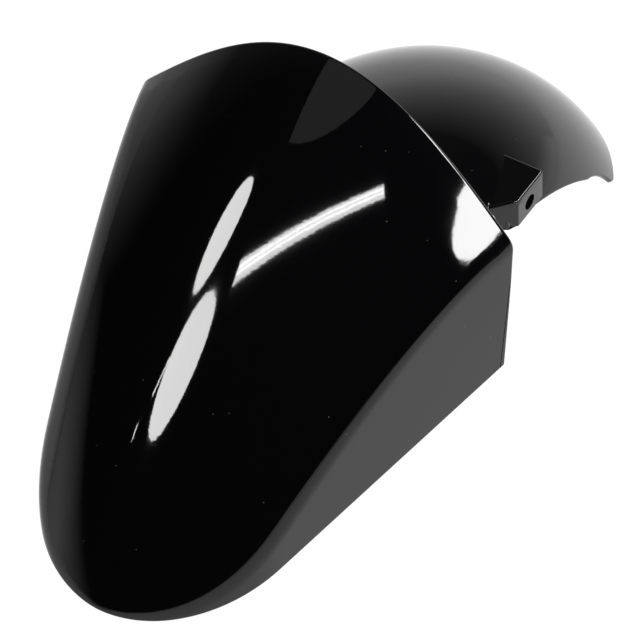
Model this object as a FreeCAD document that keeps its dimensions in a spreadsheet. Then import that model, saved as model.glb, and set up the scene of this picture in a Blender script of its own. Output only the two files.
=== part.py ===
"""Scooter front mudguard: one gloss black moulding.

A crowned hood covers the front of the tyre, a narrower arched guard runs on behind it, and two hollow
bosses on the guard take the screws to the fork legs. All sizes are in millimetres.

Frame: X across the wheel, Y towards the rear, Z up along the fork legs, which the hood's rear wall follows.
The origin is half way between the two screw holes, on their common axis.
"""
import FreeCAD, Part
import math
import os
import Sketcher

Vec = FreeCAD.Vector
doc = FreeCAD.newDocument("mudguard_model")

# Driving sizes
sheet = doc.addObject("Spreadsheet::Sheet", "sizes")
SIZES = [
    ("wall", 3.0, "thickness of the moulded skin"),
    ("hood_width", 250.0, "hood across its rear corners"),
    ("hood_length", 224.5, "hood from rear wall to nose"),
    ("side_taper", 15.9, "angle of each flank to the centre line"),
    ("nose_radius", 42.5, "roundness of the nose tip in plan"),
    ("cheek_radius", 93.0, "roundness beside the nose in plan"),
    ("crown_rise", 75.5, "crown above the rear corners"),
    ("crown_over", 27.5, "how far the crown line runs on past the nose"),
    ("crown_fall_rear", 47.2, "fall of the crown line over its first quarter"),
    ("crown_fall_mid", 116.9, "fall of the crown line to its middle"),
    ("crown_fall_front", 198.2, "fall of the crown line over three quarters"),
    ("crown_fall_nose", 289.4, "fall of the crown line to its end"),
    ("arch_half_drop", 21.5, "drop of the arch half way to the flank"),
    ("arch_full_drop", 75.0, "drop of the arch at the flank"),
    ("crease_radius", 12.0, "rounding between crown and flank"),
    ("flank_depth", 92.0, "flank below the rear corner"),
    ("nose_depth", 171.0, "hood edge at the nose below the rear corners"),
    ("axle_behind", 44.0, "wheel axle behind the rear wall"),
    ("guard_below", 3.0, "crown of the rear guard below the hood's rear corners"),
    ("guard_radius", 257.5, "crown of the rear guard from the axle"),
    ("guard_arch", 113.0, "radius of the rear guard across"),
    ("guard_depth", 45.0, "depth of the rear guard's arch"),
    ("guard_end_angle", 44.5, "angle behind the axle where the guard's edges end"),
    ("guard_tail_angle", 54.3, "angle behind the axle where the guard's crown ends"),
    ("end_corner", 14.0, "rounding of the rear end's corners"),
    ("scallop_radius", 80.0, "shallow scallop in the guard's edge"),
    ("scallop_depth", 1.8, "how deep the scallop bites"),
    ("scallop_angle", 37.5, "where the scallop is, behind the axle"),
    ("screw_behind", 80.0, "screw axis behind the rear wall"),
    ("screw_below", 43.5, "screw axis below the rear corners"),
    ("screw_hole", 10.0, "diameter of the screw hole"),
    ("boss_span", 181.6, "across the faces of the two bosses"),
    ("boss_rear", 15.5, "boss face behind the screw axis"),
    ("boss_front", 12.5, "boss face in front of the screw axis"),
    ("boss_above", 12.5, "boss above the screw axis"),
    ("boss_below", 8.7, "boss below the screw axis"),
    ("boss_round", 1.5, "rounding of the boss's corners"),
    ("boss_tilt", 8.0, "rise of the boss towards the rear"),
    ("cut_over", 40.0, "how far the cutting forms run past the material"),
    ("boss_cheek", 41.0, "angle of the boss's front wall to the centre line"),
    ("web_length", 14.0, "front wall of the boss, which runs on inside the guard"),
    ("sleeve_length", 6.0, "sleeve round the screw hole behind the boss's face"),
]
for row, (alias, value, note) in enumerate(SIZES, start=1):
    sheet.set("A%d" % row, note)
    sheet.set("B%d" % row, str(value))
    sheet.setAlias("B%d" % row, alias)
doc.recompute()


def size(alias):
    return float(sheet.get(alias))


axle_below = size("guard_radius") + size("guard_below")


def plane(body, role):
    return [item for item in body.Origin.OriginFeatures if item.Role == role][0]


def new_sketch(body, role, name):
    made = body.newObject("Sketcher::SketchObject", name)
    made.AttachmentSupport = [(plane(body, role), "")]
    made.MapMode = "FlatFace"
    return made


def driven(made, expression, *constraint):
    number = made.addConstraint(Sketcher.Constraint(*constraint))
    made.setExpression("Constraints[%d]" % number, expression)
    return number


def pin(made, item, point, x_text, y_text):
    """Fixes a point of the sketch from its origin, each coordinate by an expression."""
    driven(made, x_text, "DistanceX", -1, 1, item, point, 1.0)
    driven(made, y_text, "DistanceY", -1, 1, item, point, 1.0)


def closed_lines(made, expressions):
    """Closed outline of straight lines: drawn roughly round, then each corner pinned where it belongs."""
    first = made.GeometryCount
    total = len(expressions)
    rough = [Vec(100, 0, 0)]
    for i in range(1, total):
        turn = 2 * math.pi * i / total
        rough.append(Vec(100 * math.cos(turn), 100 * math.sin(turn), 0))
    for i in range(total):
        made.addGeometry(Part.LineSegment(rough[i], rough[(i + 1) % total]))
    for i in range(total):
        made.addConstraint(Sketcher.Constraint("Coincident", first + i, 2, first + (i + 1) % total, 1))
    for i, (x_text, y_text) in enumerate(expressions):
        pin(made, first + i, 1, x_text, y_text)


def spline(made, expressions):
    """One smooth curve of degree four with five poles: drawn roughly, then each pole pinned in place."""
    poles = [Vec(60 * i - 120, 10 * i, 0) for i in range(len(expressions))]
    curve = Part.BSplineCurve()
    curve.buildFromPolesMultsKnots(poles, [5, 5], [0, 1], False, 4)
    number = made.addGeometry(curve)
    made.exposeInternalGeometry(number)
    for i, (x_text, y_text) in enumerate(expressions):
        pin(made, number + 1 + i, 3, x_text, y_text)
    return number


# Plan of the hood: straight flanks, a cheek arc on each side and a small arc at the nose
def plan_outline(body, name, inset, rear):
    made = new_sketch(body, "XY_Plane", name)
    skin = size("wall") if inset else 0.0
    back = -size("wall") if rear else 0.0
    tip_r = size("nose_radius") - skin
    cheek_r = size("cheek_radius") - skin
    lean = math.radians(size("side_taper"))
    along = Vec(-math.sin(lean), -math.cos(lean), 0)
    inward = Vec(-math.cos(lean), math.sin(lean), 0)
    corner = Vec(size("hood_width") / 2, 0, 0) + inward * skin
    tip = Vec(0, -size("hood_length") + size("nose_radius"), 0)
    start = corner + inward * cheek_r - tip
    half_b = start.dot(along)
    reach = -half_b - math.sqrt(half_b ** 2 - start.dot(start) + (cheek_r - tip_r) ** 2)
    cheek = corner + inward * cheek_r + along * reach
    joint = corner + along * reach
    meet = tip + (tip - cheek).normalize() * tip_r
    shoulder = corner + along * ((corner.y - back) / math.cos(lean))

    def mirror(point):
        return Vec(-point.x, point.y, 0)

    def angle(point, centre):
        return math.atan2(point.y - centre.y, point.x - centre.x)

    def arc(centre, radius, a, b):
        low = angle(a, centre)
        high = angle(b, centre)
        high = high if high > low else high + 2 * math.pi
        return Part.ArcOfCircle(Part.Circle(centre, Vec(0, 0, 1), radius), low, high)

    made.addGeometry(Part.LineSegment(shoulder, mirror(shoulder)))
    made.addGeometry(Part.LineSegment(mirror(shoulder), mirror(joint)))
    made.addGeometry(arc(mirror(cheek), cheek_r, mirror(joint), mirror(meet)))
    made.addGeometry(arc(tip, tip_r, mirror(meet), meet))
    made.addGeometry(arc(cheek, cheek_r, meet, joint))
    made.addGeometry(Part.LineSegment(joint, shoulder))
    made.addConstraint(Sketcher.Constraint("Coincident", 0, 2, 1, 1))
    made.addConstraint(Sketcher.Constraint("Tangent", 1, 2, 2, 1))
    made.addConstraint(Sketcher.Constraint("Tangent", 2, 2, 3, 1))
    made.addConstraint(Sketcher.Constraint("Tangent", 3, 2, 4, 1))
    made.addConstraint(Sketcher.Constraint("Tangent", 4, 2, 5, 1))
    made.addConstraint(Sketcher.Constraint("Coincident", 5, 2, 0, 1))
    made.addConstraint(Sketcher.Constraint("Symmetric", 0, 1, 0, 2, -2))
    made.addConstraint(Sketcher.Constraint("PointOnObject", 3, 3, -2))
    made.addConstraint(Sketcher.Constraint("Symmetric", 1, 2, 4, 2, -2))
    less = " - sizes.wall" if inset else ""
    driven(made, "(90 - sizes.side_taper) * 1deg", "Angle", 5, math.pi / 2 - lean)
    driven(made, "sizes.nose_radius" + less, "Radius", 3, tip_r)
    driven(made, "sizes.cheek_radius" + less, "Radius", 4, cheek_r)
    driven(made, "sizes.nose_radius - sizes.hood_length", "DistanceY", -1, 1, 3, 3, tip.y)
    half = "sizes.hood_width / 2"
    if inset:
        half += " - sizes.wall / cos(sizes.side_taper * 1deg) - sizes.wall * tan(sizes.side_taper * 1deg)"
    driven(made, half, "DistanceX", -1, 1, 0, 1, shoulder.x)
    driven(made, "-sizes.wall" if rear else "0", "DistanceY", -1, 1, 0, 1, back)
    return made


# The arch across the hood and its crown line, both smooth curves of degree four
def crown_cut(body, name, lower):
    reach = 1.12
    half = "(sizes.hood_width * %g)" % (reach / 2)
    square = "((16 * sizes.arch_half_drop - sizes.arch_full_drop) / 3)"
    fourth = "((4 * sizes.arch_full_drop - 16 * sizes.arch_half_drop) / 3)"
    end = "(%s * %g + %s * %g)" % (square, reach ** 2, fourth, reach ** 4)
    mid = "(%s * %g + %s * %g)" % (square, (reach / 2) ** 2, fourth, (reach / 2) ** 4)
    top = "(sizes.crown_rise%s)" % lower
    arch = new_sketch(body, "XZ_Plane", name + "_arch")
    pole_end = "%s - %s" % (top, end)
    pole_side = "%s - (64 * %s - 16 * %s) / 12" % (top, mid, end)
    pole_top = "%s - (26 * %s - 128 * %s) / 18" % (top, end, mid)
    curve = spline(arch, [("-%s" % half, pole_end), ("-%s / 2" % half, pole_side), ("0", pole_top),
                          ("%s / 2" % half, pole_side), (half, pole_end)])
    high = size("crown_rise") + size("crown_fall_nose") + size("cut_over")
    wide = size("hood_width") * reach / 2
    low = size("crown_rise") - size("arch_full_drop")
    first = arch.GeometryCount
    arch.addGeometry(Part.LineSegment(Vec(wide, low, 0), Vec(wide, high, 0)))
    arch.addGeometry(Part.LineSegment(Vec(wide, high, 0), Vec(-wide, high, 0)))
    arch.addGeometry(Part.LineSegment(Vec(-wide, high, 0), Vec(-wide, low, 0)))
    arch.addConstraint(Sketcher.Constraint("Coincident", curve, 2, first, 1))
    arch.addConstraint(Sketcher.Constraint("Coincident", first, 2, first + 1, 1))
    arch.addConstraint(Sketcher.Constraint("Coincident", first + 1, 2, first + 2, 1))
    arch.addConstraint(Sketcher.Constraint("Coincident", first + 2, 2, curve, 1))
    arch.addConstraint(Sketcher.Constraint("Vertical", first))
    arch.addConstraint(Sketcher.Constraint("Vertical", first + 2))
    arch.addConstraint(Sketcher.Constraint("Horizontal", first + 1))
    ceiling = "sizes.crown_rise + sizes.crown_fall_nose + sizes.cut_over"
    driven(arch, ceiling, "DistanceY", -1, 1, first + 1, 1, high)

    path = new_sketch(body, "YZ_Plane", name + "_line")
    run = "(sizes.hood_length + sizes.crown_over)"
    f1 = "sizes.crown_fall_rear"
    f2 = "sizes.crown_fall_mid"
    f3 = "sizes.crown_fall_front"
    f4 = "sizes.crown_fall_nose"
    p1 = "%s - (48 * %s - 36 * %s + 16 * %s - 3 * %s) / 12" % (top, f1, f2, f3, f4)
    p2 = "%s - (120 * %s - 64 * %s - 64 * %s + 13 * %s) / 18" % (top, f2, f1, f3, f4)
    p3 = "%s - (16 * %s - 36 * %s + 48 * %s - 13 * %s) / 12" % (top, f1, f2, f3, f4)
    spline(path, [("0", top), ("-%s / 4" % run, p1), ("-%s / 2" % run, p2),
                  ("-%s * 3 / 4" % run, p3), ("-%s" % run, "%s - %s" % (top, f4))])
    doc.recompute()
    cut = body.newObject("PartDesign::SubtractivePipe", name + "_crown")
    cut.Profile = arch
    cut.Spine = (path, ["Edge1"])
    cut.Mode = "Fixed"
    cut.Refine = False
    doc.recompute()
    return cut


def crease_edges(shape, rear):
    """Edges where the crown meets the flanks and nose: level with the crown, not on the rear plane."""
    found = []
    for number, edge in enumerate(shape.Edges, start=1):
        box = edge.BoundBox
        upright = box.XLength < 0.01 and box.YLength < 0.01
        at_rear = box.YMin > rear - 0.01
        at_base = box.ZLength < 0.01 and box.ZMax < shape.BoundBox.ZMin + 0.01
        if not (upright or at_rear or at_base):
            found.append("Edge%d" % number)
    return found


def hood_form(name, inset):
    body = doc.addObject("PartDesign::Body", name)
    plan = plan_outline(body, name + "_plan", inset, inset)
    base = "sizes.nose_depth + sizes.cut_over * %g" % (1.5 if inset else 1)
    plan.setExpression("AttachmentOffset.Base.z", "-(%s)" % base)
    block = body.newObject("PartDesign::Pad", name + "_block")
    block.Profile = plan
    block.setExpression("Length", "%s + sizes.crown_rise + sizes.cut_over" % base)
    doc.recompute()
    cut = crown_cut(body, name, " - sizes.wall * 1.38" if inset else "")
    rounding = body.newObject("PartDesign::Fillet", name + "_crease")
    rear = -size("wall") if inset else 0.0
    rounding.Base = (cut, crease_edges(cut.Shape, rear))
    rounding.setExpression("Radius", "sizes.crease_radius" + (" - sizes.wall" if inset else ""))
    doc.recompute()
    return body


# Hood: the outer form is cut off below along a line that falls from the flank corner to the nose
hood_outer = hood_form("hood_outer", False)
hem = new_sketch(hood_outer, "YZ_Plane", "hood_hem")
slope = "(sizes.nose_depth - sizes.flank_depth) / sizes.hood_length"
front = "(-sizes.hood_length - sizes.cut_over)"
hem_points = [("sizes.cut_over", "-sizes.flank_depth + sizes.cut_over * %s" % slope),
              (front, "-sizes.flank_depth + %s * %s" % (front, slope)),
              (front, "-sizes.nose_depth - sizes.cut_over * 2.5"),
              ("sizes.cut_over", "-sizes.nose_depth - sizes.cut_over * 2.5")]
closed_lines(hem, hem_points)
hem_cut = hood_outer.newObject("PartDesign::Pocket", "hood_hem_cut")
hem_cut.Profile = hem
hem_cut.Midplane = True
hem_cut.setExpression("Length", "sizes.hood_width * 2")
doc.recompute()
hood_inner = hood_form("hood_inner", True)


# Rear guard and the space for the tyre: arch profiles turned about the wheel axle
def turned(name, less, drop, forward, rearward):
    body = doc.addObject("PartDesign::Body", name)
    made = new_sketch(body, "XZ_Plane", name + "_profile")
    made.setExpression("AttachmentOffset.Base.z", "-sizes.axle_behind")
    radius = size("guard_arch") - (size("wall") if less else 0.0)
    centre_z = -axle_below + size("guard_radius") - size("guard_arch")
    edge_z = -axle_below + size("guard_radius") - size("guard_depth")
    half = math.sqrt(radius ** 2 - (edge_z - centre_z) ** 2)
    low_z = edge_z - drop * size("cut_over")
    swing = math.atan2(edge_z - centre_z, half)
    circle = Part.Circle(Vec(0, centre_z, 0), Vec(0, 0, 1), radius)
    made.addGeometry(Part.ArcOfCircle(circle, swing, math.pi - swing))
    corners = [Vec(-half, edge_z, 0), Vec(half, edge_z, 0)]
    if drop:
        corners = [corners[0], Vec(-half, low_z, 0), Vec(half, low_z, 0), corners[1]]
    for a, b in zip(corners, corners[1:]):
        made.addGeometry(Part.LineSegment(a, b))
    last = len(corners) - 1
    for i in range(last):
        made.addConstraint(Sketcher.Constraint("Coincident", i, 2, i + 1, 1))
    made.addConstraint(Sketcher.Constraint("Coincident", last, 2, 0, 1))
    made.addConstraint(Sketcher.Constraint("PointOnObject", 0, 3, -2))
    made.addConstraint(Sketcher.Constraint("Horizontal", 2 if drop else 1))
    driven(made, "sizes.guard_arch" + (" - sizes.wall" if less else ""), "Radius", 0, radius)
    middle = "sizes.guard_radius - sizes.guard_arch - (sizes.guard_radius + sizes.guard_below)"
    edge = "sizes.guard_radius - sizes.guard_depth - (sizes.guard_radius + sizes.guard_below)"
    driven(made, middle, "DistanceY", -1, 1, 0, 3, centre_z)
    driven(made, edge, "DistanceY", -1, 1, 0, 1, edge_z)
    if drop:
        made.addConstraint(Sketcher.Constraint("Vertical", 1))
        made.addConstraint(Sketcher.Constraint("Vertical", 3))
        driven(made, "%s - %g * sizes.cut_over" % (edge, drop), "DistanceY", -1, 1, 1, 2, low_z)
    axle = made.addGeometry(Part.LineSegment(Vec(-half, -axle_below, 0), Vec(half, -axle_below, 0)), True)
    made.addConstraint(Sketcher.Constraint("Horizontal", axle))
    driven(made, "-(sizes.guard_radius + sizes.guard_below)", "DistanceY", -1, 1, axle, 1, -axle_below)
    doc.recompute()
    turn = body.newObject("PartDesign::Revolution", name + "_turn")
    turn.Profile = made
    turn.ReferenceAxis = (made, ["Axis0"])
    turn.Type = "TwoAngles"
    turn.setExpression("Angle", rearward)
    turn.setExpression("Angle2", forward)
    doc.recompute()
    if turn.Shape.CenterOfMass.y < size("axle_behind"):
        turn.Reversed = True
        doc.recompute()
    return body


guard_outer = turned("guard_outer", False, 0, "16", "sizes.guard_tail_angle + 8")
tyre_space = turned("tyre_space", True, 3.5, "24", "sizes.guard_tail_angle + 20")


# The guard's rear end is a slanting cut seen from the side, with rounded lower corners
def on_arc(radius, angle):
    """Side view point at a radius and an angle behind the axle, as a pair of expressions."""
    return ("(sizes.axle_behind + %s * sin(%s * 1deg))" % (radius, angle),
            "(-(sizes.guard_radius + sizes.guard_below) + %s * cos(%s * 1deg))" % (radius, angle))


def beyond(a, b, times):
    """Point on the line from a through b, at a multiple of their distance."""
    return tuple("(%s + (%s - %s) * %g)" % (p, q, p, times) for p, q in zip(a, b))


edge_end = on_arc("(sizes.guard_radius - sizes.guard_depth)", "sizes.guard_end_angle")
crown_end = on_arc("sizes.guard_radius", "sizes.guard_tail_angle")
tail = new_sketch(guard_outer, "YZ_Plane", "guard_tail")
tail_low = beyond(edge_end, crown_end, -1.5)
tail_high = beyond(edge_end, crown_end, 2.5)
tail_points = [tail_low, (tail_low[0], "-(sizes.guard_radius + sizes.guard_below)"),
               ("sizes.axle_behind + sizes.guard_radius * 1.5", "-(sizes.guard_radius + sizes.guard_below)"),
               ("sizes.axle_behind + sizes.guard_radius * 1.5", tail_high[1]), tail_high]
closed_lines(tail, tail_points)
tail_cut = guard_outer.newObject("PartDesign::Pocket", "guard_tail_cut")
tail_cut.Profile = tail
tail_cut.Midplane = True
tail_cut.setExpression("Length", "sizes.hood_width * 2")
doc.recompute()
edge_radius = size("guard_radius") - size("guard_depth")
end_angle = math.radians(size("guard_end_angle"))
corner_y = size("axle_behind") + edge_radius * math.sin(end_angle)
corner_z = -axle_below + edge_radius * math.cos(end_angle)
ends = []
for number, edge in enumerate(tail_cut.Shape.Edges, start=1):
    middle = edge.valueAt((edge.FirstParameter + edge.LastParameter) / 2)
    if abs(middle.y - corner_y) < 0.5 and abs(middle.z - corner_z) < 0.5 and edge.BoundBox.XLength > 50:
        ends.append("Edge%d" % number)
end_round = guard_outer.newObject("PartDesign::Fillet", "guard_end_corners")
end_round.Base = (tail_cut, ends)
end_round.setExpression("Radius", "sizes.end_corner")
doc.recompute()

# The guard starts inside the thickness of the hood's rear wall
trim = new_sketch(guard_outer, "YZ_Plane", "guard_start")
axle_level = "-(sizes.guard_radius + sizes.guard_below)"
trim_points = [("-sizes.wall / 2", "sizes.crown_rise + sizes.cut_over"),
               ("-sizes.guard_radius", "sizes.crown_rise + sizes.cut_over"),
               ("-sizes.guard_radius", axle_level), ("-sizes.wall / 2", axle_level)]
closed_lines(trim, trim_points)
trim_cut = guard_outer.newObject("PartDesign::Pocket", "guard_start_cut")
trim_cut.Profile = trim
trim_cut.Midplane = True
trim_cut.setExpression("Length", "sizes.hood_width * 2")
doc.recompute()


# Screw bosses: one beam across the guard, seen in plan, whose middle the tyre space takes away again
def beam(name, points, base, height):
    body = doc.addObject("PartDesign::Body", name)
    made = new_sketch(body, "XY_Plane", name + "_plan")
    behind = "sizes.screw_behind + (%s) * sin(sizes.boss_tilt * 1deg)" % base
    made.setExpression("AttachmentOffset.Base.y", behind)
    level = "-sizes.screw_below - (%s) * cos(sizes.boss_tilt * 1deg)" % base
    made.setExpression("AttachmentOffset.Base.z", level)
    made.setExpression("AttachmentOffset.Rotation.Axis.x", "1")
    made.setExpression("AttachmentOffset.Rotation.Axis.y", "0")
    made.setExpression("AttachmentOffset.Rotation.Axis.z", "0")
    made.setExpression("AttachmentOffset.Rotation.Angle", "sizes.boss_tilt * 1deg")
    closed_lines(made, points)
    block = body.newObject("PartDesign::Pad", name + "_block")
    block.Profile = made
    block.setExpression("Length", height)
    doc.recompute()
    return body


cheek_tan = "tan(sizes.boss_cheek * 1deg)"
cheek_cos = "cos(sizes.boss_cheek * 1deg)"
half_face = "sizes.boss_span / 2"
run_rear = "sizes.boss_rear"
run_front = "sizes.boss_front"
front_out = "sizes.screw_behind + sizes.wall / 2"
front_in = "sizes.screw_behind - sizes.wall"
waist_out = "%s - (%s - %s) * %s" % (half_face, front_out, run_front, cheek_tan)
waist_in = "%s - sizes.wall / %s - (%s - %s) * %s" % (half_face, cheek_cos, front_in, run_front, cheek_tan)
knee_in = "-%s - sizes.wall * (1 - 1 / %s) / %s" % (run_front, cheek_cos, cheek_tan)
face_in = half_face + " - sizes.wall"
rear_in = run_rear + " - sizes.wall"


def both_sides(right):
    """Closed plan of the beam from its right half, listed from rear to front."""
    return right + [("-(%s)" % x_text, y_text) for x_text, y_text in reversed(right)]


boss_outer = beam("boss_outer", both_sides([(half_face, run_rear), (half_face, "-" + run_front),
                                            (waist_out, "-(%s)" % front_out)]),
                  "sizes.boss_below", "sizes.boss_below + sizes.boss_above")
boss_block = boss_outer.Tip
limit = size("boss_span") / 2 - 1
lip = []
for number, edge in enumerate(boss_block.Shape.Edges, start=1):
    middle = edge.valueAt((edge.FirstParameter + edge.LastParameter) / 2)
    lowest = middle.z < boss_block.Shape.CenterOfMass.z - 2 and edge.BoundBox.ZLength < 6
    if abs(middle.x) > limit and not lowest:
        lip.append("Edge%d" % number)
boss_round = boss_outer.newObject("PartDesign::Fillet", "boss_round")
boss_round.Base = (boss_block, lip)
boss_round.setExpression("Radius", "sizes.boss_round")
doc.recompute()
boss_hollow = beam("boss_hollow", both_sides([(face_in, rear_in), (face_in, knee_in),
                                              (waist_in, "-(%s)" % front_in)]),
                   "sizes.boss_below + sizes.cut_over",
                   "sizes.boss_below + sizes.cut_over + sizes.boss_above - sizes.wall")

# Room for the fork legs: the guard's edge is cut away in front of each boss
gap_front = "sizes.screw_behind - sizes.wall * 1.5"
gap_waist = "%s - (%s - %s) * %s" % (half_face, gap_front, run_front, cheek_tan)
gap_side = half_face + " + sizes.wall"
fork_gap = beam("fork_gap", [(half_face, "-" + run_front), (gap_waist, "-(%s)" % gap_front),
                             (gap_side, "-(%s)" % gap_front), (gap_side, "-" + run_front)],
                "sizes.boss_below + sizes.cut_over",
                "sizes.boss_below + sizes.cut_over + sizes.boss_above")
far_gap = doc.addObject("Part::Mirroring", "fork_gap_left")
far_gap.Source = fork_gap
far_gap.Normal = Vec(1, 0, 0)

# The front wall of each boss runs on a little way inside the guard, as a web that stiffens it
cheek_sin = "sin(sizes.boss_cheek * 1deg)"
web_x = "%s - sizes.web_length * %s" % (half_face, cheek_sin)
web_y = "-%s - sizes.web_length * %s" % (run_front, cheek_cos)
web = beam("boss_web", [(half_face, "-" + run_front), (web_x, web_y),
                        (web_x + " - sizes.wall * " + cheek_cos, web_y + " + sizes.wall * " + cheek_sin),
                        (face_in, knee_in)],
           "sizes.boss_below", "sizes.boss_below + sizes.boss_above - sizes.wall / 2")
far_web = doc.addObject("Part::Mirroring", "boss_web_left")
far_web.Source = web
far_web.Normal = Vec(1, 0, 0)

# Screw holes: one straight bore through both boss faces, with a sleeve behind each face
bore = doc.addObject("Part::Cylinder", "screw_bore")
bore.setExpression("Radius", "sizes.screw_hole / 2")
bore.setExpression("Height", "sizes.boss_span + sizes.cut_over")
bore.setExpression("Placement.Base.x", "-sizes.boss_span / 2 - sizes.cut_over / 2")
bore.setExpression("Placement.Base.y", "sizes.screw_behind")
bore.setExpression("Placement.Base.z", "-sizes.screw_below")
bore.Placement.Rotation = FreeCAD.Rotation(Vec(0, 1, 0), 90)
sleeve = doc.addObject("Part::Cylinder", "screw_sleeve")
sleeve.setExpression("Radius", "sizes.screw_hole / 2 + sizes.wall * 0.8")
sleeve.setExpression("Height", "sizes.sleeve_length")
sleeve.setExpression("Placement.Base.x", "sizes.boss_span / 2 - sizes.wall / 2 - sizes.sleeve_length")
sleeve.setExpression("Placement.Base.y", "sizes.screw_behind")
sleeve.setExpression("Placement.Base.z", "-sizes.screw_below")
sleeve.Placement.Rotation = FreeCAD.Rotation(Vec(0, 1, 0), 90)
far_sleeve = doc.addObject("Part::Mirroring", "screw_sleeve_left")
far_sleeve.Source = sleeve
far_sleeve.Normal = Vec(1, 0, 0)

# Scallop near the rear end of the guard's edge, the same on both sides
scallop = doc.addObject("Part::Cylinder", "edge_scallop")
centre = "(sizes.guard_radius - sizes.guard_depth + sizes.scallop_depth - sizes.scallop_radius)"
scallop.setExpression("Radius", "sizes.scallop_radius")
scallop.setExpression("Height", "sizes.hood_width")
scallop.setExpression("Placement.Base.x", "-sizes.hood_width / 2")
behind = "sizes.axle_behind + %s * sin(sizes.scallop_angle * 1deg)" % centre
above = "%s + %s * cos(sizes.scallop_angle * 1deg)" % (axle_level, centre)
scallop.setExpression("Placement.Base.y", behind)
scallop.setExpression("Placement.Base.z", above)
scallop.Placement.Rotation = FreeCAD.Rotation(Vec(0, 1, 0), 90)

# The moulding: outer forms joined, the hollow hood, the tyre space and the openings taken out, then
# the webs and sleeves put into the bosses and the screw holes drilled
outside = doc.addObject("Part::MultiFuse", "outside")
outside.Shapes = [hood_outer, guard_outer, boss_outer]
inside = doc.addObject("Part::MultiFuse", "inside")
inside.Shapes = [hood_inner, tyre_space, boss_hollow, fork_gap, far_gap, scallop]
shell = doc.addObject("Part::Cut", "shell")
shell.Base = outside
shell.Tool = inside
stiffened = doc.addObject("Part::MultiFuse", "stiffened_shell")
stiffened.Shapes = [shell, web, far_web, sleeve, far_sleeve]
mudguard = doc.addObject("Part::Cut", "mudguard")
mudguard.Base = stiffened
mudguard.Tool = bore
mudguard.Refine = True
mudguard.setExpression("Placement.Base.y", "-sizes.screw_behind")
mudguard.setExpression("Placement.Base.z", "sizes.screw_below")
mudguard.Label = "mudguard"
doc.recompute()

# Every feature must have been made, and the moulding is one closed solid
for item in doc.Objects:
    if "Invalid" in item.State or "Error" in item.State:
        raise RuntimeError("not made: " + item.Name)
    if item.TypeId.startswith(("Part::", "PartDesign::")) and getattr(item, "Shape", None) is not None:
        if item.Shape.isNull() or not item.Shape.isValid():
            raise RuntimeError("bad shape: " + item.Name)
if len(mudguard.Shape.Solids) != 1:
    raise RuntimeError("the moulding is %d solids" % len(mudguard.Shape.Solids))

os.makedirs("parts", exist_ok=True)
mudguard.Shape.exportStep("parts/mudguard.step")
box = mudguard.Shape.optimalBoundingBox(False)
spans = (box.XLength, box.YLength, box.ZLength)
print("mudguard %.1f x %.1f x %.1f mm, %.0f cubic mm" % (spans + (mudguard.Shape.Volume,)))
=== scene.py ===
# %% [markdown]
# # A scooter's front mudguard in gloss black
# The mudguard is one plastic moulding. A long crowned hood with flat flanks covers the front of
# the tyre, a narrower arched guard follows the tyre behind it, and two small hollow bosses on the
# guard take the screws to the fork. This lesson loads the CAD model as a fixed frame, draws the
# same moulding again with a finer skin and rounded rims, and lights it the way a black gloss
# product is lit: with a few bright panels in a dark room.

# %% Load the frame
import math

import bmesh
import bpy
import numpy as np
from mathutils import Matrix, Quaternion, Vector


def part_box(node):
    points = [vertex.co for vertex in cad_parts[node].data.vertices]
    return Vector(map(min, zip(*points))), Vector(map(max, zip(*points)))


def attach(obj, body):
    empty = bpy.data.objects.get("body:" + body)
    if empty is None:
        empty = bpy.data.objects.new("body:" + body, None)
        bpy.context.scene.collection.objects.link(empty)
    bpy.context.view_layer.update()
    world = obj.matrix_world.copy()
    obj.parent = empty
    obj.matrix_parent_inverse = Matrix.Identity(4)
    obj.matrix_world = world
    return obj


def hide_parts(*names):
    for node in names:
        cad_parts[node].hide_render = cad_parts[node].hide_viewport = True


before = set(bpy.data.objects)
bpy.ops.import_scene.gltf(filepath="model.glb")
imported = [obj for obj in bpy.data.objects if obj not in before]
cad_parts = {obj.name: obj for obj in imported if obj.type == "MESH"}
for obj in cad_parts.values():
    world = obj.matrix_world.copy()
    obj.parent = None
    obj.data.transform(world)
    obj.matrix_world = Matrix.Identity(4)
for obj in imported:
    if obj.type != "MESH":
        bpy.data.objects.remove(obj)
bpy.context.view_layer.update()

# %% [markdown]
# ## Where the drawing starts
# The frame's origin lies half way between the two screw holes. A drawing of the hood is easier to
# read from the middle of its rear edge, so the shapes below are worked out in millimetres from
# there, with y towards the rear, and moved into the frame at the end.

# %% Move drawn points into the frame
screw_behind = 80.0
screw_below = 43.5


def to_frame(points):
    """Points drawn in millimetres from the hood's rear edge, as metres in the frame."""
    moved = np.asarray(points, float) + np.array([0.0, -screw_behind, screw_below])
    return moved * 0.001


hood_half_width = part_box("mudguard")[1].x * 1000
print("the hood is %.0f mm across" % (2 * hood_half_width))

# %% [markdown]
# ## The hood seen from above
# In plan the flanks run straight and lean towards each other, and the nose closes them with three
# arcs: a wide one on each cheek and a tighter one at the tip. A walk along this edge gives a place
# and an inward direction for any distance from the rear corner. It can start a little behind the
# corner, so that the rounded crease can be cut off cleanly at the rear wall later.

# %% Walk round the plan
hood_length = 224.5
flank_lean = math.radians(15.9)
cheek_radius = 93.0
nose_radius = 42.5

flank_way = np.array([-math.sin(flank_lean), -math.cos(flank_lean)])
flank_inward = np.array([-math.cos(flank_lean), math.sin(flank_lean)])
rear_corner = np.array([hood_half_width, 0.0])
nose_centre = np.array([0.0, nose_radius - hood_length])
reach = rear_corner + cheek_radius * flank_inward - nose_centre
half_way = reach @ flank_way
flank_run = -half_way - math.sqrt(half_way**2 - reach @ reach + (cheek_radius - nose_radius) ** 2)
cheek_centre = rear_corner + flank_run * flank_way + cheek_radius * flank_inward
to_nose = nose_centre - cheek_centre
cheek_end = math.atan2(to_nose[1], to_nose[0])
cheek_run = cheek_radius * (-flank_lean - cheek_end)
nose_run = nose_radius * (cheek_end + math.pi / 2)
plan_run = flank_run + cheek_run + nose_run


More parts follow.
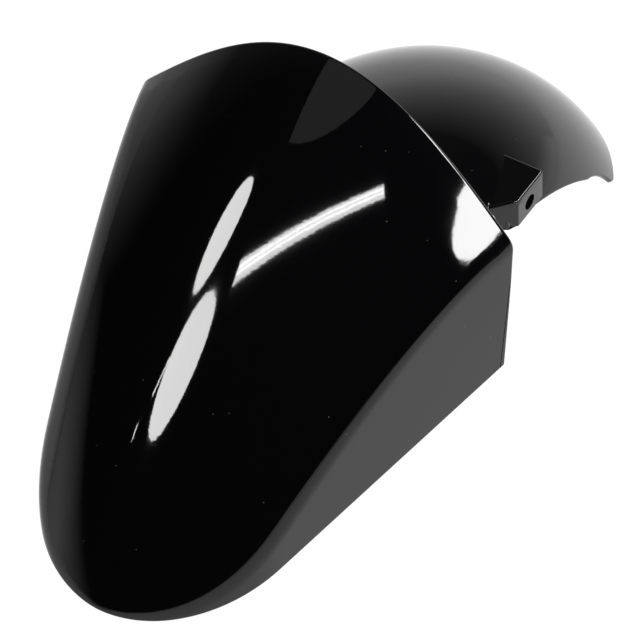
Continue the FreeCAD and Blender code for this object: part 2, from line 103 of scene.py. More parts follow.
def walk_plan(distance):
    """Places on the hood's right edge and the directions that point inwards there."""
    distance = np.asarray(distance, float)[:, None]
    on_flank = distance < flank_run
    on_cheek = distance < flank_run + cheek_run
    cheek_angle = -flank_lean - (distance - flank_run) / cheek_radius
    nose_angle = cheek_end - (distance - flank_run - cheek_run) / nose_radius
    cheek_out = np.hstack([np.cos(cheek_angle), np.sin(cheek_angle)])
    nose_out = np.hstack([np.cos(nose_angle), np.sin(nose_angle)])
    place = np.where(on_cheek, cheek_centre + cheek_radius * cheek_out, nose_centre + nose_radius * nose_out)
    place = np.where(on_flank, rear_corner + distance * flank_way, place)
    inward = np.where(on_flank, flank_inward, np.where(on_cheek, -cheek_out, -nose_out))
    return place, inward


print("edge from rear corner to nose tip %.0f mm, %.0f of it straight" % (plan_run, flank_run))

# %% [markdown]
# ## The crown
# The crown falls towards the nose and drops to both sides. Both curves are polynomials of degree
# four: the crown line goes through five heights along the hood, and the arch through its drop at
# half and full width. A polynomial has no hidden kinks, which matters on a black gloss skin, where
# the smallest ripple bends the reflections.

# %% Shape the crown
crown_rise = 75.5
crown_reach = 252.0
crown_falls = np.array([0.0, 47.2, 116.9, 198.2, 289.4])
arch_half_drop = 21.5
arch_full_drop = 75.0

quarters = -crown_reach * np.linspace(0, 1, 5)
crown_line = np.poly1d(np.polyfit(quarters, crown_rise - crown_falls, 4))
arch_square = (16 * arch_half_drop - arch_full_drop) / 3 / hood_half_width**2
arch_fourth = (4 * arch_full_drop - 16 * arch_half_drop) / 3 / hood_half_width**4
arch_drop = np.poly1d([arch_fourth, 0, arch_square, 0, 0])


def crown_height(x, y):
    return crown_line(y) - arch_drop(x)


def crown_normal(x, y):
    facing = np.stack([arch_drop.deriv()(x), -crown_line.deriv()(y), np.ones_like(x)], -1)
    return facing / np.linalg.norm(facing, axis=-1, keepdims=True)


print("crown line falls %.0f degrees at the rear and %.0f at the nose" % tuple(
    math.degrees(math.atan(crown_line.deriv()(y))) for y in (0.0, -hood_length)))

# %% [markdown]
# ## From the hem over the crease to the middle
# A ball rolled along inside the corner between flank and crown leaves a rounded crease. For each
# place on the plan the ball's centre lies one radius inside the flank, and it touches the crown
# where the crown's normal points at the centre. One row of the skin climbs the flank, follows the
# ball and runs over the crown to the middle line. The hem, a sloping cut, takes off what hangs
# below it.

# %% Draw the rows of the hood
crease_radius = 12.0
flank_depth = 92.0
nose_depth = 171.0
hem_slope = (nose_depth - flank_depth) / hood_length
row_step = 0.5
fan = 0.6

walk = np.arange(-16.0, plan_run, row_step)
walk = np.append(walk, plan_run)
edge, inward = walk_plan(walk)
centre = edge + crease_radius * inward
touch = centre.copy()
for repeat in range(30):
    lean = crown_normal(touch[:, 0], touch[:, 1])
    touch = 0.5 * touch + 0.5 * (centre + crease_radius * lean[:, :2])
lean = crown_normal(touch[:, 0], touch[:, 1])
centre_height = crown_height(touch[:, 0], touch[:, 1]) - crease_radius * lean[:, 2]
ball = np.column_stack([centre, centre_height])
flank_out = np.column_stack([-inward, np.zeros(len(walk))])
swing = np.arccos((flank_out * lean).sum(1))[:, None]

rows = []
for height in np.linspace(-230.0, 0.0, 20, endpoint=False):
    level = centre_height + (height / -230.0) * (-230.0 - centre_height)
    rows.append(np.column_stack([edge, level]))
for share in np.linspace(0, 1, 60, endpoint=False):
    turned = (np.sin((1 - share) * swing) * flank_out + np.sin(share * swing) * lean) / np.sin(swing)
    rows.append(ball + crease_radius * turned)
middle = np.column_stack([np.zeros(len(walk)), fan * touch[:, 1]])
for share in np.linspace(0, 1, 200):
    flat = touch + share * (middle - touch)
    rows.append(np.column_stack([flat, crown_height(flat[:, 0], flat[:, 1])]))
drawn = np.stack(rows, 1)
print("drew %d rows of %d points" % drawn.shape[:2])

# %% [markdown]
# ## An even net of points
# The raw rows are far finer than the mesh needs. Each is cut at the hem and divided into the same
# number of steps, and then each line of points along the hood is cut at the rear wall and divided
# again. What comes out is a plain net of four-sided faces, which shades smoothly.

# %% Cut the rows at the hem and the rear wall
columns = 84
hood_rows = 88
first_step = 2.5
rim_room = 12.0
rear_plane = 0.8


def along_line(line, where):
    """Points at fractional places in a list of points."""
    index = np.arange(len(line))
    return np.stack([np.interp(where, index, line[:, axis]) for axis in range(3)], -1)


trimmed = []
for line in drawn:
    above = line[:, 2] + flank_depth - hem_slope * line[:, 1]
    first = int(np.argmax(above > 0))
    cut = first - above[first] / (above[first] - above[first - 1])
    kept = np.vstack([along_line(line, [cut]), line[first:]])
    run = np.append(0.0, np.cumsum(np.linalg.norm(np.diff(kept, axis=0), axis=1)))
    steps = np.append(0.0, np.linspace(first_step, run[-1], columns))
    trimmed.append(along_line(kept, np.interp(steps, run, np.arange(len(kept)))))
trimmed = np.stack(trimmed)

hood = []
for number in range(columns + 1):
    line = trimmed[:, number]
    past = line[:, 1] - rear_plane
    ahead = int(np.argmax(past < 0))
    cut = ahead - past[ahead] / (past[ahead] - past[ahead - 1])
    onwards = np.linspace(cut + rim_room / row_step, len(line) - 1, hood_rows)
    hood.append(along_line(line, np.append(cut, onwards)))
hood = np.stack(hood, 1)
hood[0, :, 1] = rear_plane
hood[:, -1, 0] = 0.0
hood[-1, :, 0] = 0.0
print("hood net", hood.shape[:2], "nose at %.1f mm" % hood[:, :, 1].min())

# %% [markdown]
# ## The arched guard and the rear wall
# The guard is an arch swept round the wheel's axle, so a point on it is an angle across the arch
# and an angle round the axle. Its tail is cut on a slant, its lower corners are rounded, and a
# shallow scallop bites into the edge near the end. The rear wall closes the hood round the guard:
# straight strips from the hood's rear edge to the line where the guard begins.

# %% Draw the guard's surface
axle_behind = 44.0
axle_below = 260.5
guard_radius = 257.5
guard_arch = 113.0
edge_radius = 212.5
edge_end = math.radians(44.5)
crown_end = math.radians(54.3)
scallop_radius = 80.0
scallop_depth = 1.8
scallop_angle = math.radians(37.5)
arch_centre = guard_radius - guard_arch
arch_swing = math.acos((edge_radius - arch_centre) / guard_arch)


def round_axle(x, radius, angle):
    """A point at a radius from the axle and an angle behind the upright."""
    return np.stack([x, axle_behind + radius * np.sin(angle), radius * np.cos(angle) - axle_below], -1)


tail_low = edge_radius * np.array([math.sin(edge_end), math.cos(edge_end)])
tail_high = guard_radius * np.array([math.sin(crown_end), math.cos(crown_end)])
tail_way = (tail_high - tail_low) / np.linalg.norm(tail_high - tail_low)


def tail_angle(radius):
    """Where the slanting tail cut meets a circle round the axle."""
    half = tail_low @ tail_way
    share = -half + np.sqrt(half**2 - tail_low @ tail_low + radius**2)
    meet = tail_low + share[..., None] * tail_way
    return np.arctan2(meet[..., 0], meet[..., 1])


def edge_swing(angle):
    """How far the arch reaches down on each side, less the bite of the scallop."""
    centre_radius = edge_radius + scallop_depth - scallop_radius
    off = centre_radius * np.sin(angle - scallop_angle)
    inside = np.maximum(scallop_radius**2 - off**2, 0.0)
    bitten = centre_radius * np.cos(angle - scallop_angle) + np.sqrt(inside)
    lowest = np.maximum(edge_radius, np.where(np.abs(off) < scallop_radius / 2, bitten, 0.0))
    return np.arccos((lowest - arch_centre) / guard_arch)


print("the arch spreads %.0f degrees to each side" % math.degrees(arch_swing))

# %% Lay out the guard and the wall
guard_rows = 90
wall_rows = 12
opening_half = 86.5
end_corner = 14.0

flank_columns = int(np.argmax(hood[0, :, 2] > -crease_radius)) + 4
shares = np.linspace(1, 0, columns + 1 - flank_columns)
across = shares * arch_swing
radius = arch_centre + guard_arch * np.cos(across)
start_angle = np.arcsin((rear_plane - axle_behind) / radius)
end_angle = tail_angle(radius)
slant = edge_end + math.atan2(tail_way[1], tail_way[0])
short = end_corner * math.tan(slant / 2) - (radius - edge_radius) / math.sin(slant)
short = np.maximum(short, 0)
half = end_corner * math.sin(slant) - short * math.cos(slant)
end_angle = end_angle - (half - np.sqrt(np.maximum(half**2 - short**2, 0))) / radius
guard = []
for share in np.linspace(0, 1, guard_rows):
    angle = start_angle + share * (end_angle - start_angle)
    swung = shares * edge_swing(angle)
    guard.append(round_axle(guard_arch * np.sin(swung), arch_centre + guard_arch * np.cos(swung), angle))
guard = np.stack(guard)
guard[0, :, 1] = rear_plane
guard[:, -1, 0] = 0.0

side_top = guard[0, 0]
side_foot = [opening_half, rear_plane, hood[0, 0, 2]]
side_knee = [opening_half, rear_plane, side_top[2] - 9.0]
side_line = np.array([side_foot, side_knee, side_top])
side = along_line(side_line, np.append(np.linspace(0, 1, flank_columns - 2), [1.33, 1.66, 2]))
inner_edge = np.vstack([side[:-1], guard[0]])
shares = np.append(0.0, np.linspace(0.16, 1, wall_rows))
wall = np.stack([hood[0] + share * (inner_edge - hood[0]) for share in shares])
print("guard net", guard.shape[:2], "wall net", wall.shape[:2])

# %% [markdown]
# ## One skin
# The three nets share their border points, so welding close points joins them into one surface.
# The left half is the mirror image of the right.

# %% Weld the skin
weld_gap = 0.00002


def add_net(mesh, net, mirrored):
    """Four-sided faces between the points of a net."""
    points = net * np.array([-1, 1, 1]) if mirrored else net
    corners = [[mesh.verts.new(place) for place in line] for line in to_frame(points)]
    for a, b in zip(corners, corners[1:]):
        for i in range(len(a) - 1):
            loop = [a[i], a[i + 1], b[i + 1], b[i]]
            mesh.faces.new(loop[::-1] if mirrored else loop)


def new_piece(name, mesh):
    """Turns a bmesh into an object of the scene."""
    data = bpy.data.meshes.new(name)
    mesh.to_mesh(data)
    mesh.free()
    piece = bpy.data.objects.new(name, data)
    bpy.context.scene.collection.objects.link(piece)
    return piece


skin_mesh = bmesh.new()
for mirrored in (False, True):
    add_net(skin_mesh, hood[::-1], mirrored)
    add_net(skin_mesh, wall, mirrored)
    add_net(skin_mesh, guard, mirrored)
bmesh.ops.remove_doubles(skin_mesh, verts=skin_mesh.verts, dist=weld_gap)
bmesh.ops.recalc_face_normals(skin_mesh, faces=skin_mesh.faces)
top_face = max(skin_mesh.faces, key=lambda face: face.calc_center_median().z)
if top_face.normal.z < 0:
    bmesh.ops.reverse_faces(skin_mesh, faces=skin_mesh.faces)
mudguard = new_piece("mudguard_moulding", skin_mesh)
print("skin of %d faces" % len(mudguard.data.polygons))

# %% [markdown]
# ## Thickness
# The moulding is 3 mm thick all over, as thin as the plastic flows well in so large a mould.
# Solidify gives the skin that thickness inwards.

# %% Thicken the skin
wall_thickness = 0.003


def apply_all(piece):
    """Replaces a piece's mesh by what its modifiers make of it."""
    seen = piece.evaluated_get(bpy.context.evaluated_depsgraph_get())
    made = bpy.data.meshes.new_from_object(seen)
    piece.modifiers.clear()
    piece.data = made


thicken = mudguard.modifiers.new("wall", "SOLIDIFY")
thicken.thickness = wall_thickness
thicken.offset = -1
thicken.use_even_offset = True
thicken.use_quality_normals = True
apply_all(mudguard)
print("moulding of %d faces" % len(mudguard.data.polygons))

# %% [markdown]
# ## Rounded rims
# A polished mould has no sharp corners. Where the hood turns into its rear wall the rounding is
# wide: it mirrors a narrow dark band and then one fine bright line. All other rims get a small
# rounding.

# %% Round the rims
rear_rounding = 0.0034
flank_share = 0.42
rim_share = 0.32


def whole(place):
    """A place in whole hundredths of a millimetre, to recognise a point again."""
    return tuple(int(round(value * 100000)) for value in place)


rear_points = {whole(place) for flip in (-1, 1) for place in to_frame(hood[0] * np.array([flip, 1, 1]))}
guard_corner = Vector(to_frame(side_top))
rims = bmesh.new()
rims.from_mesh(mudguard.data)
weight = rims.edges.layers.float.new("bevel_weight_edge")
for item in rims.edges:
    place = (item.verts[0].co + item.verts[1].co) / 2
    place.x = abs(place.x)
    if all(whole(corner.co) in rear_points for corner in item.verts):
        climb = (place.z * 1000 - screw_below + 25) / 25
        item[weight] = flank_share + (1 - flank_share) * min(max(climb, 0), 1)
    elif item.calc_face_angle(0) > math.radians(45) and (place - guard_corner).length > 0.014:
        item[weight] = rim_share
rims.to_mesh(mudguard.data)
rims.free()
soften = mudguard.modifiers.new("rims", "BEVEL")
soften.width = rear_rounding
soften.segments = 4
soften.limit_method = "WEIGHT"
soften.use_clamp_overlap = False
apply_all(mudguard)
print("rounded moulding of %d faces" % len(mudguard.data.polygons))

# %% [markdown]
# ## The screw bosses
# Each boss is a small housing that grows out of the guard's side and offers the fork a flat face
# with a hole. It is drawn in level loops from bottom to top. The outer part of a loop follows the
# housing, the inner part stays inside the guard's skin, and the last loops draw in to round the
# upper edge.

# %% Grow the bosses
boss_face = 90.8
boss_rear = 15.5
boss_front = 12.5
boss_above = 12.5
boss_below = 8.7
boss_rounding = 1.5
skin = 3.0
boss_tilt = math.radians(8)
cheek_angle = math.radians(41)
web_length = 14.0


def on_boss(x, along, height):
    """A point of the boss, which tilts up towards the rear about the screw axis."""
    y = screw_behind + along * math.cos(boss_tilt) - height * math.sin(boss_tilt)
    z = -screw_below + along * math.sin(boss_tilt) + height * math.cos(boss_tilt)
    return np.stack([x, y, z], -1)


def inside_skin(along, height):
    """Half way through the guard's skin beside a place on the boss."""
    spot = on_boss(np.zeros_like(along), along, np.full_like(along, height))
    radius = np.hypot(spot[:, 1] - axle_behind, spot[:, 2] + axle_below)
    radius = np.clip(radius, edge_radius, guard_radius - 1)
    return np.sqrt(guard_arch**2 - (radius - arch_centre) ** 2) - 2.7


def cheek_x(along, inset):
    return boss_face - (-along - boss_front) * math.tan(cheek_angle) - inset / math.cos(cheek_angle)


def boss_loop(height, inset):
    """One level of a boss: its rear end, face, slanting front and the way back inside the skin."""
    rear = boss_rear - inset
    face = boss_face - inset
    knee = -boss_front + inset * (1 / math.cos(cheek_angle) - 1) / math.tan(cheek_angle)
    reach = np.linspace(knee, -60.0, 400)
    meet = reach[int(np.argmax(cheek_x(reach, inset) < inside_skin(reach, height)))]
    web_end = -boss_front - web_length * math.cos(cheek_angle)
    thick = skin + 0.2 if web_end < meet else 0.05
    meet = min(meet, web_end)
    turn = np.linspace(math.pi / 2, 0, 4)
    small = boss_rounding - inset + 0.05
    start = inside_skin(np.array([rear]), height)
    xs = [start, face - small + small * np.cos(turn), np.full(5, face)]
    ys = [np.array([rear]), rear - small + small * np.sin(turn), np.linspace(rear - small, knee, 6)[1:]]
    front = np.linspace(knee, meet, 8)[1:]
    behind = np.array([meet + thick * math.sin(cheek_angle)])
    back = np.linspace(behind[0], rear, 14)[1:-1]
    end = cheek_x(front[-1:], inset) - thick * math.cos(cheek_angle)
    xs += [cheek_x(front, inset), end, inside_skin(back, height)]
    ys += [front, behind, back]
    x = np.concatenate(xs)
    return on_boss(x, np.concatenate(ys), np.full_like(x, height))


levels = [(height, 0.0) for height in np.linspace(-boss_below, boss_above - boss_rounding, 6)]
for turn in np.radians([30, 60, 90]):
    drawn_in = boss_rounding * (1 - math.cos(turn))
    levels.append((boss_above - boss_rounding * (1 - math.sin(turn)), drawn_in))
print("a boss has %d levels" % len(levels))


# %% Stack the loops into bosses
def stack_loops(name, loops, mirrored=False):
    """A closed body from level loops, with a flat cap at each end."""
    mesh = bmesh.new()
    flip = np.array([-1, 1, 1]) if mirrored else np.ones(3)
    rings = [[mesh.verts.new(place) for place in to_frame(loop * flip)] for loop in loops]
    for a, b in zip(rings, rings[1:]):
        for i in range(len(a)):
            nxt = (i + 1) % len(a)
            mesh.faces.new([a[i], a[nxt], b[nxt], b[i]])
    mesh.faces.new(rings[0])
    mesh.faces.new(rings[-1])
    bmesh.ops.recalc_face_normals(mesh, faces=mesh.faces)
    return new_piece(name, mesh)


boss_loops = [boss_loop(height, inset) for height, inset in levels]
bosses = [stack_loops("boss_right", boss_loops), stack_loops("boss_left", boss_loops, True)]
print("bosses of %d faces" % sum(len(boss.data.polygons) for boss in bosses))

# %% [markdown]
# ## The hollows
# A boss is hollow, open below and towards the tyre, because a thick lump of plastic would sink as
# it cools. One bar across the guard hollows both. In front of each boss the guard's edge is cut away
# to leave room for the fork leg. Inside, a short sleeve carries the screw, and one rod drills both
# holes. A fine line near each flank's rear edge, where a slide of the mould closed, is cut with a
# thin blade.

# %% Make the forms that hollow the bosses
hollow_deep = 40.0

hollow_face = boss_face - skin
hollow_knee = -boss_front + skin * (1 / math.cos(cheek_angle) - 1) / math.tan(cheek_angle)
hollow_front = -(screw_behind - skin)
hollow_waist = boss_face - skin / math.cos(cheek_angle) + (hollow_front + boss_front) * math.tan(cheek_angle)
half_plan = [(hollow_face, boss_rear - skin), (hollow_face, hollow_knee), (hollow_waist, hollow_front)]
bar_plan = np.array(half_plan + [(-x, y) for x, y in reversed(half_plan)])
bar_loops = [on_boss(bar_plan[:, 0], bar_plan[:, 1], np.full(6, height))
             for height in (-boss_below - hollow_deep, boss_above - skin)]
hollow_bar = stack_loops("hollow_bar", bar_loops)

gap_rear = -boss_front
gap_front = 4.5 - screw_behind
gap_x = boss_face - (-gap_front - boss_front) * math.tan(cheek_angle) - 0.3
gap_plan = np.array([(boss_face - 0.3, gap_rear), (gap_x, gap_front), (boss_face + skin, gap_front),
                     (boss_face + skin, gap_rear)])
gap_loops = [on_boss(gap_plan[:, 0], gap_plan[:, 1], np.full(4, height))
             for height in (-boss_below - hollow_deep, boss_above)]
gaps = [stack_loops("fork_gap", gap_loops, mirrored) for mirrored in (False, True)]
print("made", hollow_bar.name, "and %d gaps for the fork" % len(gaps))


# %% Make the sleeves, the drill rod and the blades
def round_bar(name, radius, low, high, mirrored=False):
    """A round bar along the screw's axis."""
    turns = np.linspace(0, 2 * math.pi, rod_sides, endpoint=False)
    along = radius * np.cos(turns)
    height = radius * np.sin(turns)
    loops = [on_boss(np.full(rod_sides, x), along, height) for x in (low, high)]
    return stack_loops(name, loops, mirrored)


screw_hole_radius = 5.0
sleeve_radius = 7.4
rod_sides = 48
sleeves = [round_bar("screw_sleeve", sleeve_radius, 83.3, 89.3, mirrored) for mirrored in (False, True)]
cutters = [round_bar("screw_rod", screw_hole_radius, -boss_face - 20, boss_face + 20)]

line_top = np.array([-0.6, -26.0])
line_foot = np.array([-2.8, -96.0])
line_width = 0.5
line_depth = 0.6
line_side = np.array([-line_width, 0.0])
blade_plan = [line_top, line_foot, line_foot + line_side, line_top + line_side]
for mirrored in (False, True):
    blade = []
    for outwards in (1.0, -line_depth):
        loop = []
        for y, z in blade_plan:
            spot = rear_corner + y / flank_way[1] * flank_way - outwards * flank_inward
            loop.append([spot[0], spot[1], z])
        blade.append(np.array(loop))
    cutters.append(stack_loops("slide_line_blade", blade, mirrored))
print("%d cutting forms" % len(cutters))

# %% Join the bosses and cut the hollows
stages = [(gaps, "DIFFERENCE"), (bosses, "UNION"), ([hollow_bar], "DIFFERENCE"),
          (sleeves, "UNION"), (cutters, "DIFFERENCE")]
for tools, operation in stages:
    for tool in tools:
        step = mudguard.modifiers.new(tool.name, "BOOLEAN")
        step.operation = operation
        step.solver = "EXACT"
        step.object = tool
apply_all(mudguard)
for tools, operation in stages:
    for tool in tools:
        bpy.data.objects.remove(tool)
print("finished moulding of %d faces" % len(mudguard.data.polygons))

# %% [markdown]
# ## Smooth shading
# Large faces should keep their own direction next to a narrow rounded rim, or the reflections near
# the rim would bend. Weighted normals let the larger face decide.

# %% Smooth the moulding
mudguard.data.shade_smooth()
for polygon_edge in mudguard.data.edges:
    polygon_edge.use_edge_sharp = False
mudguard.data.set_sharp_from_angle(angle=math.radians(40))
weigh = mudguard.modifiers.new("weighted_normals", "WEIGHTED_NORMAL")
weigh.keep_sharp = True
apply_all(mudguard)
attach(mudguard, "root")
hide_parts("mudguard")
print("smoothed", mudguard.name)

# %% [markdown]
# ## The gloss black plastic
# A high-gloss moulding mirrors the room. Its black hides every shade, so nearly all that the eye
# sees is reflection, and the little things that disturb it make it real: the faint waviness of a
# polished skin, a breath of haze where hands wiped it, and specks of dust.

# %% Mix the gloss black plastic
gloss_black = bpy.data.materials.new("gloss_black_plastic")
gloss_black.use_nodes = True
tree = gloss_black.node_tree
plastic = tree.nodes["Principled BSDF"]
plastic.inputs["IOR"].default_value = 1.43
where = tree.nodes.new("ShaderNodeTexCoord")


def noise(scale, detail):
    """A cloud pattern fixed to the moulding; scale is the number of clouds in a metre."""
    made = tree.nodes.new("ShaderNodeTexNoise")
    made.inputs["Scale"].default_value = scale
    made.inputs["Detail"].default_value = detail
    tree.links.new(where.outputs["Object"], made.inputs["Vector"])
    return made.outputs["Fac"]


def between(tree, value, low, high, to_low, to_high):
    """Turns one span of values into another and stops at its ends."""
    made = tree.nodes.new("ShaderNodeMapRange")
    made.inputs["From Min"].default_value = low
    made.inputs["From Max"].default_value = high
    made.inputs["To Min"].default_value = to_low
    made.inputs["To Max"].default_value = to_high
    tree.links.new(value, made.inputs["Value"])
    return made.outputs["Result"]


dust_cells = tree.nodes.new("ShaderNodeTexVoronoi")
dust_cells.inputs["Scale"].default_value = 105
tree.links.new(where.outputs["Object"], dust_cells.inputs["Vector"])
dust = between(tree, dust_cells.outputs["Distance"], 0.015, 0.03, 1, 0)
plastic_colour = tree.nodes.new("ShaderNodeMix")
plastic_colour.data_type = "RGBA"
plastic_colour.inputs["A"].default_value = (0.0014, 0.0014, 0.0017, 1)
plastic_colour.inputs["B"].default_value = (0.18, 0.17, 0.16, 1)
tree.links.new(dust, plastic_colour.inputs["Factor"])
tree.links.new(plastic_colour.outputs["Result"], plastic.inputs["Base Color"])
tree.links.new(between(tree, noise(9, 5), 0.35, 0.75, 0.025, 0.05), plastic.inputs["Roughness"])
skin_waves = tree.nodes.new("ShaderNodeBump")
skin_waves.inputs["Strength"].default_value = 0.012
skin_waves.inputs["Distance"].default_value = 0.0004
tree.links.new(noise(330, 1), skin_waves.inputs["Height"])
tree.links.new(skin_waves.outputs["Normal"], plastic.inputs["Normal"])
mudguard.data.materials.clear()
mudguard.data.materials.append(gloss_black)
print("mixed", gloss_black.name)

# %% [markdown]
# ## The floor
# A white paper floor that runs away behind the moulding. It glows softly for the camera and for
# reflections, so that it reads as white and the flanks mirror it, and its paint still takes the
# shadow of the moulding. Far off to the sides, outside the picture, that glow fades, soonest in the
# left corner behind: painted shade, as if less light reached the paper there. That gives the hood's
# left edge its soft grey band.

# %% Lay the floor
floor_gap = 0.0005
bpy.ops.mesh.primitive_plane_add(size=8, location=(0, 0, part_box("mudguard")[0].z - floor_gap))
floor = bpy.context.object
floor.name = "studio_floor"
floor_paint = bpy.data.materials.new("pale_floor_paint")
floor_paint.use_nodes = True
floor.data.materials.append(floor_paint)


def calculate(tree, operation, first, second):
    """One sum of two values; the second may be a plain number."""
    made = tree.nodes.new("ShaderNodeMath")
    made.operation = operation
    tree.links.new(first, made.inputs[0])
    if isinstance(second, (int, float)):
        made.inputs[1].default_value = second
    else:
        tree.links.new(second, made.inputs[1])
    return made.outputs[0]


print("floor at %.4f m" % floor.location.z)

# %% Let the floor glow and fade
tree = floor_paint.node_tree
path = tree.nodes.new("ShaderNodeLightPath")
seen = calculate(tree, "ADD", path.outputs["Is Camera Ray"], path.outputs["Is Glossy Ray"])
seen = calculate(tree, "ADD", seen, path.outputs["Is Transmission Ray"])
seen = calculate(tree, "MINIMUM", seen, 1.0)
spot = tree.nodes.new("ShaderNodeTexCoord")
spread = tree.nodes.new("ShaderNodeSeparateXYZ")
tree.links.new(spot.outputs["Object"], spread.inputs[0])
# How far a spot lies to the side, and how far into the left corner behind, sets how much of the floor's glow
# is taken away there: painted shade.
to_left = calculate(tree, "MULTIPLY", spread.outputs["X"], -1.0)
aside = calculate(tree, "MAXIMUM", spread.outputs["X"], to_left)
in_front = calculate(tree, "MULTIPLY", spread.outputs["Y"], -0.5)
behind = calculate(tree, "MAXIMUM", spread.outputs["Y"], in_front)
aside = calculate(tree, "SUBTRACT", aside, behind)
far_back = calculate(tree, "MULTIPLY", spread.outputs["Y"], 1.2)
left_corner = calculate(tree, "SUBTRACT", to_left, far_back)
left_corner = calculate(tree, "SUBTRACT", left_corner, 0.1)
left_corner = calculate(tree, "MINIMUM", left_corner, far_back)
left_corner = calculate(tree, "MAXIMUM", left_corner, 0.0)
left_corner = calculate(tree, "MULTIPLY", left_corner, 4.0)
aside = calculate(tree, "ADD", aside, left_corner)
# The floor's glow, not its paint, fades from 0.93 to 0.32 here: painted shade far off to the sides.
floor_glow_fade = between(tree, aside, 0.9, 2.9, 0.93, 0.32)
paint = tree.nodes["Principled BSDF"]
paint.inputs["Base Color"].default_value = (0.13, 0.13, 0.13, 1)
paint.inputs["Roughness"].default_value = 0.9
paint.inputs["Specular IOR Level"].default_value = 0.0
paint.inputs["Emission Color"].default_value = (1, 1, 1, 1)
tree.links.new(calculate(tree, "MULTIPLY", seen, floor_glow_fade), paint.inputs["Emission Strength"])
print("painted", floor.name)

# %% [markdown]
# ## The room
# Behind the moulding the paper is hung up and fades towards the top, most to the right, where only
# its lowest part stays bright. In front a low white board stands on the floor, and a little light
# runs along the dark walls, more on the left. The black hood then mirrors darkness except where a
# lamp hangs, and the guard mirrors the paper.

# %% Paint the room
room = bpy.data.worlds.new("studio_room")
bpy.context.scene.world = room
room.use_nodes = True
tree = room.node_tree
facing = tree.nodes.new("ShaderNodeTexCoord")
way = tree.nodes.new("ShaderNodeSeparateXYZ")
tree.links.new(facing.outputs["Generated"], way.inputs[0])


def fade(value, axis, low, high, at_low, at_high):
    """A brightness that changes along one axis of the room."""
    return calculate(tree, "MULTIPLY", value, between(tree, way.outputs[axis], low, high, at_low, at_high))


to_right = calculate(tree, "MULTIPLY", way.outputs["X"], 0.7)
to_right = calculate(tree, "ADD", to_right, way.outputs["Z"])
hung_paper = between(tree, to_right, -0.1, 0.7, 0.98, 0.0)
low_paper = between(tree, way.outputs["Z"], 0.0, 0.2, 0.95, 0.0)
low_paper = fade(low_paper, "X", 0.05, 0.2, 0.0, 1.0)
hung_paper = calculate(tree, "MAXIMUM", hung_paper, low_paper)
hung_paper = fade(hung_paper, "Y", 0.35, 0.8, 0.0, 1.0)
to_back = calculate(tree, "MULTIPLY", way.outputs["Y"], 0.28)
to_back = calculate(tree, "ADD", to_back, way.outputs["Z"])
front_board = between(tree, to_back, -0.115, -0.05, 1.0, 0.0)
front_board = fade(front_board, "Y", -0.6, -0.2, 1.0, 0.3)
along_walls = between(tree, way.outputs["Z"], -0.02, 0.25, 0.3, 0.07)
along_walls = fade(along_walls, "Y", -0.25, 0.15, 0.0, 1.0)
along_walls = fade(along_walls, "X", 0.0, 0.3, 1.0, 0.4)
glow = calculate(tree, "MAXIMUM", hung_paper, front_board)
glow = calculate(tree, "MAXIMUM", glow, along_walls)
background = tree.nodes["Background"]
background.inputs["Color"].default_value = (1, 1, 1, 1)
tree.links.new(glow, background.inputs["Strength"])
print("painted", room.name)

# %% [markdown]
# ## The lamps
# Each bright shape on the hood is the mirror image of a lamp: two umbrellas with a bright rod beside
# the lower one, a bent strip of tubes with a pair of brighter lines in it, and a softbox on the
# right. One more tube hangs behind and draws the bright line along the rear rim. A lamp is placed
# by the direction it has from the hood, and its size by the angle that it fills there. Its long
# side points towards a second direction.

# %% Hang the lamps
hood_middle = Vector((0, -0.17, 0.03))
lamp_distance = 2.5


def direction(azimuth, elevation):
    """A direction as angles: from straight ahead round to the right, and up."""
    a = math.radians(azimuth)
    e = math.radians(elevation)
    return Vector((math.sin(a) * math.cos(e), -math.cos(a) * math.cos(e), math.sin(e)))


def hang_lamp(name, middle, towards, wide, tall, glow, shape="ELLIPSE"):
    """A soft panel that faces the hood; glow is its brightness, where white paper is one."""
    lamp = bpy.data.lights.new(name, "AREA")
    lamp.shape = shape
    lamp.size = 2 * lamp_distance * math.tan(math.radians(wide) / 2)
    lamp.size_y = 2 * lamp_distance * math.tan(math.radians(tall) / 2)
    area = lamp.size * lamp.size_y * (math.pi / 4 if shape == "ELLIPSE" else 1)
    lamp.energy = glow * math.pi * area
    holder = bpy.data.objects.new(name, lamp)
    bpy.context.scene.collection.objects.link(holder)
    back = direction(*middle)
    side = direction(*towards)
    side = (side - side.dot(back) * back).normalized()
    holder.location = hood_middle + lamp_distance * back
    holder.rotation_mode = "QUATERNION"
    holder.rotation_quaternion = Matrix((side, back.cross(side), back)).transposed().to_quaternion()
    return holder


def hang_tube(name, start, end, thick, glow):
    """A straight tube between two directions."""
    a = direction(*start)
    b = direction(*end)
    half = (a + b) / 2
    middle = (math.degrees(math.atan2(half.x, -half.y)), math.degrees(math.asin(half.normalized().z)))
    return hang_lamp(name, middle, end, math.degrees(a.angle(b)), thick, glow, "RECTANGLE")


hang_lamp("upper_umbrella", (-39.5, 32.2), (-40.1, 20.9), 14.9, 9.3, 21)
hang_lamp("lower_umbrella", (-28.6, 23.3), (-37.5, 16.8), 14.8, 10.9, 21)
hang_tube("upper_rod", (-35.9, 20.5), (-36.3, 17.5), 0.4, 24)
hang_tube("lower_rod", (-37.5, 14.9), (-36.9, 14.0), 0.4, 24)
strip = [(-20.8, 33.7), (-11.1, 37.9), (0.7, 41.8), (13.5, 44.7), (29.1, 46.8), (41.7, 47.6), (52, 47.7)]
for start, end in zip(strip, strip[1:]):
    hang_tube("strip", start, end, 2.7, 21)
    for shift in (0.6, -0.2):
        hang_tube("strip_line", (start[0], start[1] + shift), (end[0], end[1] + shift), 0.4, 16)
hang_lamp("side_softbox", (96.7, 36.3), (116.8, 34.8), 37.5, 6.5, 30)
hang_tube("back_tube", (114, 39), (150, 36), 10, 26)
print("lamps", [item.name for item in bpy.data.lights])

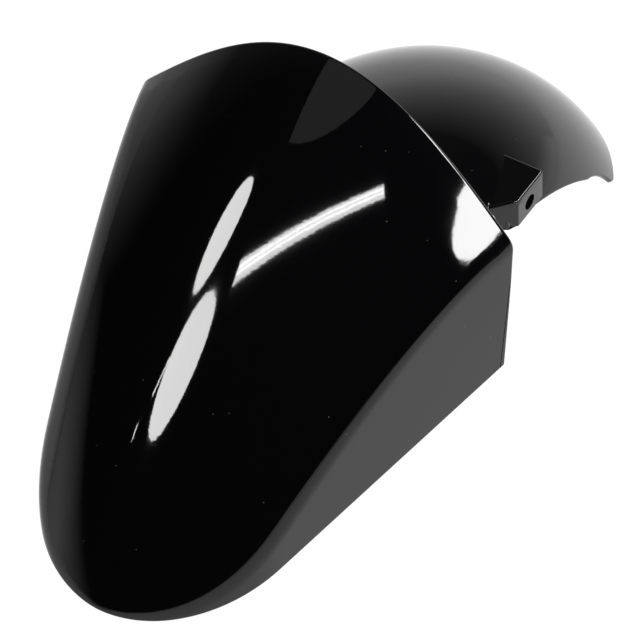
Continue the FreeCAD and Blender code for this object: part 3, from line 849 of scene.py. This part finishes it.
# %% [markdown]
# ## The ceiling panel
# High up hangs a large dim panel, a round one that a straight board hides in part. No lamp has that
# outline, so it is a flat sheet with a faint glow. The hood mirrors it near its rear edge.

# %% Hang the ceiling panel
panel_glow = 0.4
panel_radius = 0.555
panel_middle = (-0.08, -0.012)
board_end = (0.25, 0.4)

up_there = direction(-84.6, 75.6)
panel_along = direction(158.3, 73.2)
panel_along = (panel_along - panel_along.dot(up_there) * up_there).normalized()
panel_across = up_there.cross(panel_along)
outline = [board_end]
for turn in np.radians(np.linspace(220, 360, 29)):
    along = panel_middle[0] + panel_radius * math.cos(turn)
    across = panel_middle[1] + panel_radius * math.sin(turn)
    outline.append((along, across))
sheet = bmesh.new()
corners = []
for along, across in outline:
    corner = hood_middle + lamp_distance * (up_there + along * panel_along + across * panel_across)
    corners.append(sheet.verts.new(corner))
sheet.faces.new(corners)
panel = new_piece("ceiling_panel", sheet)
panel_paint = bpy.data.materials.new("dim_panel")
panel_paint.use_nodes = True
glowing = panel_paint.node_tree.nodes["Principled BSDF"]
glowing.inputs["Base Color"].default_value = (0, 0, 0, 1)
glowing.inputs["Specular IOR Level"].default_value = 0.0
glowing.inputs["Emission Color"].default_value = (1, 1, 1, 1)
glowing.inputs["Emission Strength"].default_value = panel_glow
panel.data.materials.append(panel_paint)
print("ceiling panel of %d corners" % len(outline))

# %% [markdown]
# ## The camera
# A long lens from the front right and above, a little rolled, as the product was photographed.

# %% Set the camera
lens = bpy.data.cameras.new("product_camera")
lens.lens = 152.21
lens.sensor_width = 36
camera = bpy.data.objects.new("product_camera", lens)
bpy.context.scene.collection.objects.link(camera)
camera_place = Vector((0.63127, -1.05960, 1.01968))
camera_aim = Vector((-0.00736, -0.06803, -0.09363))
camera_roll = math.radians(1.305)
camera.location = camera_place
camera.rotation_mode = "QUATERNION"
look = (camera_aim - camera_place).to_track_quat("-Z", "Y")
camera.rotation_quaternion = look @ Quaternion((0, 0, 1), camera_roll)
bpy.context.scene.camera = camera
bpy.context.scene.view_settings.view_transform = "Standard"
print("lens of %.0f mm" % lens.lens)
